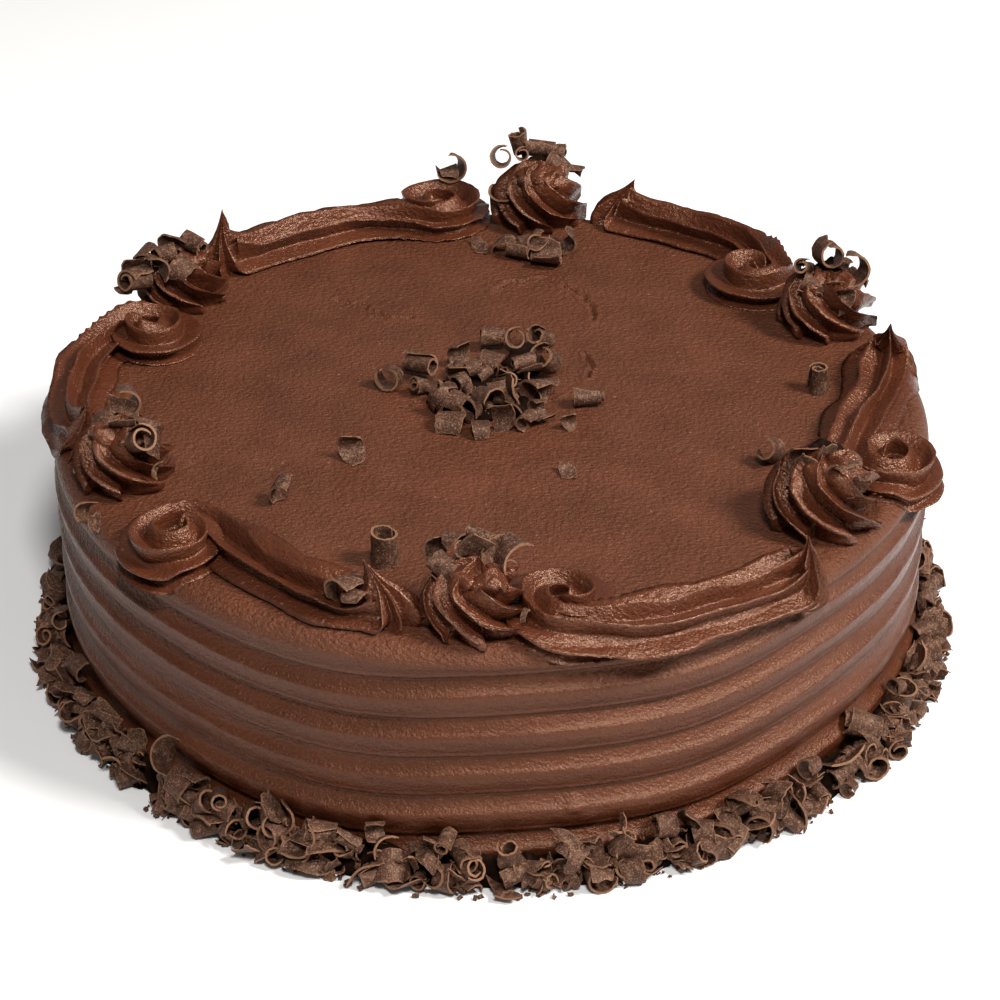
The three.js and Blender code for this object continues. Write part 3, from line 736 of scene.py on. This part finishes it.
def curl(random, kind, place, yaw, tilt, roll, size=1.0):
    """One rolled shaving with ragged ends: points, faces, nearness to an edge, and tone."""
    ranges = CURL_KINDS[kind]
    turn = random.uniform(*ranges["turn"])
    base = random.uniform(*ranges["radius"]) * size
    width = random.uniform(*ranges["width"]) * size
    steps = 5 + int(14 * turn)
    part = np.concatenate([[0, 0.04], np.linspace(0.1, 0.9, steps), [0.96, 1.0]])[:, None]
    across = np.array(CURL_ACROSS)[None, :]
    ragged = random.uniform(-1, 1, size=(len(part), 2))
    jagged = random.uniform(-1, 1, size=across.shape)
    taper = random.uniform(0.0, 0.5) if kind != "tube" else random.uniform(0.0, 0.15)
    half = width / 2 * (1 - taper * np.abs(part * 2 - 1) ** 2)
    low = -half + CURL_RAGGED * size * ragged[:, :1]
    high = half + CURL_RAGGED * size * ragged[:, 1:]
    x = low + (high - low) * (across + 1) / 2 + random.uniform(-2.0, 2.0) * size * (part - 0.5)
    slant = random.uniform(-0.04, 0.04) * across + random.uniform(-0.03, 0.03) * across ** 2
    ends = 0.018 * jagged * np.abs(part * 2 - 1) ** 4
    angle = np.radians(((part - 0.5) * turn + slant + ends) * 360 - 90)
    radius = base * (1 - CURL_TIGHTER * turn * part ** 1.3) * (1 + random.uniform(-0.14, 0.14) * across)
    radius = radius + CURL_DENTS * random.uniform(-1, 1, size=radius.shape)
    thick = CURL_THICKNESS * math.sqrt(size) * np.clip(np.minimum(part, 1 - part) * 6 + 0.4, 0.4, 1)
    sheets = []
    for inward in (0.0, 1.0):
        r = radius - thick * inward
        sheets.append(np.stack([x, r * np.cos(angle), r * np.sin(angle)], axis=-1))
    points = np.concatenate(sheets).reshape(-1, 3)
    points[:, 2] += base * (1 - min(turn, 1.0))
    rows, columns = len(part), across.shape[1]
    count = rows * columns
    faces = grid_faces(rows, columns, False)
    faces += [[index + count for index in face[::-1]] for face in faces]
    rim = [i * columns for i in range(rows)]
    rim += [(rows - 1) * columns + j for j in range(1, columns)]
    rim += [i * columns + columns - 1 for i in range(rows - 2, -1, -1)]
    rim += list(range(columns - 2, 0, -1))
    for here, there in zip(rim, rim[1:] + rim[:1]):
        faces.append([here, there, there + count, here + count])
    edge = np.zeros((2, rows, columns))
    edge[:, 0], edge[:, -1], edge[:, :, 0], edge[:, :, -1] = 1, 1, 1, 1
    points = turned(points, yaw, tilt, roll) + np.asarray(place, float)
    return points, faces, edge.ravel(), np.full(len(points), random.uniform(0, 1))


def any_curl(random, place, size):
    """A curl of a random kind, lying any way up."""
    kinds = list(CURL_KINDS)
    kind = random.choice(kinds, p=[CURL_KINDS[name]["share"] for name in kinds])
    yaw, roll = random.uniform(0, 360, size=2)
    return curl(random, kind, place, yaw, random.normal(0, 28), roll, size)


def crumb(random, place, size):
    """Small broken crumb of chocolate: a rough eight-cornered block."""
    corners = np.array([[x, y, z] for x in (-1, 1) for y in (-1, 1) for z in (-1, 1)], float)
    corners = corners * size * random.uniform(0.5, 1.0, size=(8, 3)) * np.array([1, 0.7, 0.35])
    points = turned(corners, random.uniform(0, 360), random.uniform(-30, 30), random.uniform(-30, 30))
    faces = [[0, 1, 3, 2], [4, 6, 7, 5], [0, 4, 5, 1], [2, 3, 7, 6], [0, 2, 6, 4], [1, 5, 7, 3]]
    return points + np.asarray(place, float), faces, np.full(8, 0.3), np.full(8, random.uniform(0, 1))


def core(middle, half_x, half_y, low, height, seed):
    """Low rough dome under a heap of curls, near-black as painted shade for the gaps between them."""
    angle = np.arange(60) * 6.0
    spread = np.linspace(1, 0.05, 14)[:, None]
    flat = polar(angle, spread) * np.array([half_x, half_y]) + np.asarray(middle, float)
    z = low + height * np.sqrt(1 - spread ** 2) + 0 * angle
    rows = np.concatenate([flat, z[..., None]], axis=-1)
    return capped_rows(roughen(rows, np.full(rows.shape[:2], 1.0), 2.2, seed))


def make_heap(name, parts, material, *nodes):
    """One object from curls and crumbs, standing for the given nodes."""
    points, faces = joined(parts)
    piece = make_object(name, points, faces, material)
    for place, attribute in ((2, "edge"), (3, "tone")):
        layer = piece.data.attributes.new(attribute, "FLOAT", "POINT")
        layer.data.foreach_set("value", np.concatenate([part[place] for part in parts]))
    piece.data.set_sharp_from_angle(angle=math.radians(40))
    if nodes:
        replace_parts(piece, *nodes)


def placed_curls(random, origin, curls):
    """Curls given one by one: kind, place from the origin, yaw, tilt, roll and size."""
    made = []
    for kind, place, yaw, tilt, roll, size in curls:
        made.append(curl(random, kind, np.asarray(place, float) + origin, yaw, tilt, roll, size))
    return made


def make_middle_heap(material):
    """Curls given one by one, with others and crumbs under and between them."""
    random = np.random.RandomState(7)
    parts = placed_curls(random, np.array([0, 0, CAKE_HEIGHT]), MIDDLE_CURLS)
    for height, spread, count in MIDDLE_FILLING:
        for i in range(count):
            flat = polar(360 * (i + random.uniform(0, 0.6)) / count, spread * (1 if i % 2 else 0.6))
            flat = flat * np.array(MIDDLE_HALF) + np.array(MIDDLE_PLACE)
            parts.append(any_curl(random, (*flat, CAKE_HEIGHT + height), random.uniform(0.6, 0.9)))
    for _ in range(MIDDLE_CRUMBS):
        flat = polar(random.uniform(0, 360), random.uniform(0.8, 1.2)) * np.array(MIDDLE_HALF)
        place = (flat[0] + MIDDLE_PLACE[0], flat[1] + MIDDLE_PLACE[1], CAKE_HEIGHT + 0.3)
        parts.append(crumb(random, place, random.uniform(0.3, 0.8)))
    make_heap("curls_middle", parts, material, "middle_curls")


def make_star_heaps(material):
    for number, (star, curls) in enumerate(zip(STARS, STAR_CURLS), 1):
        random = np.random.RandomState(20 + number)
        middle = polar(star["angle"], star["reach"])
        parts = placed_curls(random, np.array([*middle, CAKE_HEIGHT]), curls)
        make_heap(f"curls_star_{number}", parts, material, f"star_curls_{number}")


def make_other_heaps(material):
    base = np.array([0, 0, CAKE_HEIGHT])
    random = np.random.RandomState(5)
    make_heap("curls_back", placed_curls(random, base, BACK_CURLS), material, "back_curls")
    make_heap("curls_scattered", placed_curls(random, base, SCATTERED_CURLS), material)


def make_loose_curls(material):
    """Single curls, each let down until it touches the top."""
    for number, (node, given) in enumerate(LOOSE_CURLS.items(), 1):
        random = np.random.RandomState(50 + number)
        parts = placed_curls(random, np.array([0, 0, CAKE_HEIGHT]), (given,))
        low = parts[0][0][:, 2].min()
        parts[0][0][:, 2] += CAKE_HEIGHT - 0.15 - low
        make_heap(node + "_shaving", parts, material, node)


def ring_core(start, span, seed):
    """Rough wedge between the cake's foot and the table, under the ring's curls, near-black as painted
    shade.
    """
    angle = start + np.linspace(0, span, 121)
    rows = np.array([[[*polar(turn, reach), height] for reach, height in RING_CORE] for turn in angle])
    rows = roughen(rows, np.full(rows.shape[:2], 1.4), 2.4, seed)
    rows[..., 2] = np.maximum(rows[..., 2], 0.1)
    return capped_rows(rows)


def make_painted_shade_cores(material):
    """The fillings of all the heaps, under their curls, near-black as painted shade."""
    parts = [
        core(MIDDLE_PLACE, 15, 12, CAKE_HEIGHT, 4.0, 90),
        core((9, 22), 6, 8, CAKE_HEIGHT, 2.0, 91),
        core((13, 87), 8, 3.5, CAKE_HEIGHT, 2.2, 97),
    ]
    for star in STARS:
        middle = polar(star["angle"], star["reach"]) + np.array([0, 3])
        parts.append(core(middle, 5.5, 5.0, CAKE_HEIGHT + STAR_HEIGHT * star["size"] - 5, 4.5, 95))
    span = 360 / RING_SECTORS
    parts += [ring_core(sector * span, span, 98) for sector in range(RING_SECTORS)]
    points, faces = joined(parts)
    make_object("painted_shade_cores", points, faces, material)


def ring_curls(random, start, span):
    """Curls of one sector, row over row, with scraps and crumbs between and before them."""
    parts = []
    for row in RING_ROWS:
        for i in range(row["count"]):
            angle = start + 1.5 + (span - 3) * (i + random.uniform(0, 0.9)) / row["count"]
            flat = polar(angle, row["reach"] + random.uniform(-1.2, 0.8))
            place = (*flat, row["height"] + random.uniform(-1.2, 1.2))
            parts.append(any_curl(random, place, random.uniform(*row["sizes"])))
    for i in range(RING_SCRAPS):
        height = random.uniform(1.0, 11.0)
        angle = start + random.uniform(1, span - 1)
        flat = polar(angle, 128.4 - 0.42 * height + random.uniform(-0.8, 0.8))
        kind = "flake" if i % 2 else "sliver"
        yaw, roll = random.uniform(0, 360, size=2)
        parts.append(curl(random, kind, (*flat, height), yaw, random.normal(0, 30), roll, 0.5))
    for _ in range(RING_CRUMBS):
        flat = polar(start + random.uniform(1, span - 1), random.uniform(126, 130))
        parts.append(crumb(random, (*flat, 0.6), random.uniform(0.4, 1.1)))
    return parts


def make_foot_ring(material):
    """All sectors of the ring, with nothing below the table."""
    span = 360 / RING_SECTORS
    for sector in range(RING_SECTORS):
        parts = ring_curls(np.random.RandomState(100 + sector), sector * span, span)
        for part in parts:
            part[0][:, 2] += max(0.1 - part[0][:, 2].min(), 0)
        make_heap(f"curls_foot_{sector + 1}", parts, material, f"foot_curls_{sector + 1}")


# Materials

def set_inputs(tree, node, inputs):
    """Gives a node's inputs their values, or links them to other nodes' outputs."""
    for name, value in inputs.items():
        if isinstance(value, bpy.types.NodeSocket):
            tree.links.new(value, node.inputs[name])
        else:
            node.inputs[name].default_value = value


def add_node(tree, kind, output, inputs):
    """One output of a new shader node."""
    node = tree.nodes.new("ShaderNode" + kind)
    set_inputs(tree, node, inputs)
    return node.outputs[output]


def new_material(name):
    """Material with a bare shader, and the place on the object that its patterns follow."""
    material = bpy.data.materials.new(name)
    material.use_nodes = True
    tree = material.node_tree
    tree.nodes.clear()
    output = tree.nodes.new("ShaderNodeOutputMaterial")
    shader = tree.nodes.new("ShaderNodeBsdfPrincipled")
    tree.links.new(shader.outputs["BSDF"], output.inputs["Surface"])
    where = add_node(tree, "TexCoord", "Object", {})
    return material, tree, shader, where


def add_noise(tree, vector, scale, detail=3.0, roughness=0.55):
    return add_node(tree, "TexNoise", "Fac", {
        "Vector": vector, "Scale": scale, "Detail": detail, "Roughness": roughness})


def add_stretch(tree, vector, stretch, spin):
    """Draws a pattern out to the given lengths, along axes spun about Z by an angle in degrees."""
    drawn = add_node(tree, "Mapping", "Vector", {
        "Vector": vector, "Scale": stretch, "Rotation": (0, 0, math.radians(spin))})
    drawn.node.vector_type = "TEXTURE"
    return drawn


def add_range(tree, value, low, high, start=0.0, end=1.0):
    """A value from start to end turned into one from low to high."""
    return add_node(tree, "MapRange", "Result", {
        "Value": value, "From Min": start, "From Max": end, "To Min": low, "To Max": high})


def add_dots(tree, vector, scale, radius):
    """1 at the middle of scattered dots, falling to 0 at their radius."""
    distance = add_node(tree, "TexVoronoi", "Distance", {"Vector": vector, "Scale": scale})
    return add_range(tree, distance, 1.0, 0.0, 0.0, radius)


def add_attribute(tree, name):
    value = add_node(tree, "Attribute", "Fac", {})
    value.node.attribute_name = name
    return value


def add_ramp(tree, value, dark, light, start, end):
    """Colour from dark to light as a value goes from start to end."""
    color = add_node(tree, "ValToRGB", "Color", {"Fac": value})
    for element, place, tint in zip(color.node.color_ramp.elements, (start, end), (dark, light)):
        element.position = place
        element.color = (*tint, 1.0)
    return color


def add_mix(tree, factor, color, other):
    """A colour that gives way to another, by a factor."""
    node = tree.nodes.new("ShaderNodeMix")
    node.data_type = "RGBA"
    tree.links.new(factor, node.inputs["Factor"])
    under, over = [socket for socket in node.inputs if socket.type == "RGBA"]
    tree.links.new(color, under)
    over.default_value = (*other, 1.0)
    return [socket for socket in node.outputs if socket.type == "RGBA"][0]


def add_bump(tree, height, distance, strength, normal=None):
    inputs = {"Height": height, "Distance": distance, "Strength": strength}
    if normal is not None:
        inputs["Normal"] = normal
    return add_node(tree, "Bump", "Normal", inputs)


def icing_material(name, colors, strength, roughness, gloss, duller_top):
    """Whipped chocolate icing: satin, finely pitted, a little uneven in colour, with painted shade making
    the side darker than the top.
    """
    material, tree, shader, where = new_material(name)
    patches = add_noise(tree, where, PATCH_SCALE, 5.0, 0.6)
    lumps = add_noise(tree, where, LUMP_SCALE, 3.0, 0.6)
    grain = add_noise(tree, where, GRAIN_SCALE, 3.0, 0.6)
    streaks = add_noise(tree, add_stretch(tree, where, STREAK_STRETCH, STREAK_SPIN), STREAK_SCALE)
    up = add_node(tree, "SeparateXYZ", "Z", {"Vector": where})
    color = add_ramp(tree, patches, *colors, 0.3, 0.7)
    specks = add_range(tree, add_dots(tree, where, SPECK_SCALE, SPECK_RADIUS), 0.0, SPECK_SHARE)
    color = add_mix(tree, specks, color, ICING_SPECK)
    # Painted shade: below the top the colour gives way to a darker, deeper brown, by height
    painted_side_shade = add_range(tree, up, SIDE_SHADE_SHARE, 0.0, *SIDE_TO_TOP)
    color = add_mix(tree, painted_side_shade, color, SIDE_PAINTED_SHADE)
    uneven = add_range(tree, grain, *roughness, 0.3, 0.7)
    duller = add_range(tree, up, 0.0, duller_top, *SIDE_TO_TOP)
    streaked = add_range(tree, up, SIDE_GRAIN * strength, strength, *SIDE_TO_TOP)
    normal = add_bump(tree, lumps, LUMP_RELIEF, 0.3 * strength)
    normal = add_bump(tree, grain, GRAIN_RELIEF, strength, normal)
    normal = add_bump(tree, streaks, STREAK_RELIEF, streaked, normal)
    set_inputs(tree, shader, {
        "Base Color": color,
        "Roughness": add_node(tree, "Math", "Value", {0: uneven, 1: duller}),
        "Normal": normal,
        "Specular IOR Level": gloss,
        "Specular Tint": (*WARM_GLOSS, 1.0),
    })
    return material


def chocolate_material():
    """Shaved dark chocolate: dull, scratched, a little paler where it is broken."""
    material, tree, shader, where = new_material("chocolate_curls")
    patches = add_noise(tree, where, CURL_PATCH_SCALE)
    bloom = add_noise(tree, where, CURL_BLOOM_SCALE, 4.0, 0.7)
    specks = add_noise(tree, where, CURL_SCRATCH_SCALE, 3.0, 0.7)
    color = add_ramp(tree, patches, CURL_DARK, CURL_LIGHT, 0.3, 0.75)
    paler = add_range(tree, add_attribute(tree, "tone"), 0.0, 0.5)
    color = add_mix(tree, paler, color, CURL_LIGHT)
    dusty = add_range(tree, bloom, 0.0, 0.3, 0.52, 0.66)
    color = add_mix(tree, dusty, color, CURL_SCRATCH)
    scratches = add_range(tree, specks, 0.0, 0.7, 0.54, 0.68)
    color = add_mix(tree, scratches, color, CURL_SCRATCH)
    rim = add_range(tree, add_attribute(tree, "edge"), 0.0, 0.52, 0.5, 1.0)
    color = add_mix(tree, rim, color, CURL_EDGE)
    normal = add_bump(tree, bloom, CURL_BLOOM_RELIEF, 0.4)
    normal = add_bump(tree, specks, CURL_SCRATCH_RELIEF, 0.8, normal)
    set_inputs(tree, shader, {
        "Base Color": color,
        "Roughness": add_range(tree, patches, *CURL_ROUGHNESS),
        "Normal": normal,
        "Specular IOR Level": CURL_GLOSS,
        "Specular Tint": (*WARM_GLOSS, 1.0),
    })
    return material


def painted_gap_shade_material():
    """Painted deep shade between curls: near-black, rough and almost without gloss."""
    material, tree, shader, where = new_material("painted_gap_shade")
    set_inputs(tree, shader, {
        "Base Color": add_ramp(tree, add_noise(tree, where, GAP_SCALE), GAP_PAINTED_SHADE_DARK, GAP_PAINTED_SHADE_LIGHT, 0.3, 0.7),
        "Roughness": GAP_ROUGHNESS,
        "Specular IOR Level": GAP_GLOSS,
    })
    return material


def floor_material():
    """Plain pale floor."""
    material, tree, shader, where = new_material("studio_floor")
    set_inputs(tree, shader, {
        "Base Color": add_ramp(tree, add_noise(tree, where, FLOOR_SCALE), FLOOR_DARK, FLOOR_LIGHT, 0.3, 0.7),
        "Roughness": FLOOR_ROUGHNESS,
    })
    return material


# Studio

def make_camera():
    data = bpy.data.cameras.new("camera")
    data.sensor_width = SENSOR
    data.lens = CAMERA_FOCAL_PIXELS * SENSOR / PICTURE_PIXELS
    camera = bpy.data.objects.new("camera", data)
    camera.location = Vector(CAMERA_PLACE) * MM
    camera.rotation_euler = (math.radians(90 - CAMERA_DOWN), 0, 0)
    bpy.context.scene.collection.objects.link(camera)
    bpy.context.scene.camera = camera


def make_area_light(name, place, size, power, color):
    data = bpy.data.lights.new(name, "AREA")
    data.shape = "DISK"
    data.size = size
    data.energy = power
    data.color = color
    light = bpy.data.objects.new(name, data)
    light.location = place
    light.rotation_euler = (Vector(LIGHT_AIM) - Vector(place)).to_track_quat("-Z", "Y").to_euler()
    bpy.context.scene.collection.objects.link(light)


def make_studio():
    mesh = bpy.data.meshes.new("floor")
    corners = [(x * FLOOR_HALF, y * FLOOR_HALF, 0) for x, y in ((-1, -1), (1, -1), (1, 1), (-1, 1))]
    mesh.from_pydata(corners, [], [(0, 1, 2, 3)])
    mesh.materials.append(floor_material())
    floor = bpy.data.objects.new("floor", mesh)
    bpy.context.scene.collection.objects.link(floor)
    world = bpy.data.worlds.new("studio")
    world.use_nodes = True
    background = world.node_tree.nodes["Background"]
    background.inputs["Color"].default_value = (1.0, 1.0, 1.0, 1.0)
    background.inputs["Strength"].default_value = WORLD_STRENGTH
    bpy.context.scene.world = world
    make_area_light("key", KEY_PLACE, KEY_SIZE, KEY_POWER, KEY_COLOR)
    make_area_light("front", FRONT_PLACE, FRONT_SIZE, FRONT_POWER, FRONT_COLOR)
    bpy.context.scene.view_settings.view_transform = "Standard"


make_camera()
spread_icing = icing_material(
    "spread_icing", SPREAD_COLORS, SPREAD_GRAIN, SPREAD_ROUGHNESS, SPREAD_GLOSS, DULLER_TOP)
piped_icing = icing_material(
    "piped_icing", PIPED_COLORS, PIPED_GRAIN, PIPED_ROUGHNESS, PIPED_GLOSS, 0.0)
chocolate = chocolate_material()
make_body(spread_icing)
make_stars(piped_icing)
make_scrolls(piped_icing)
make_middle_heap(chocolate)
make_star_heaps(chocolate)
make_other_heaps(chocolate)
make_loose_curls(chocolate)
make_foot_ring(chocolate)
# Near-black cores under the heaps and the ring, as painted shade
make_painted_shade_cores(painted_gap_shade_material())
make_studio()
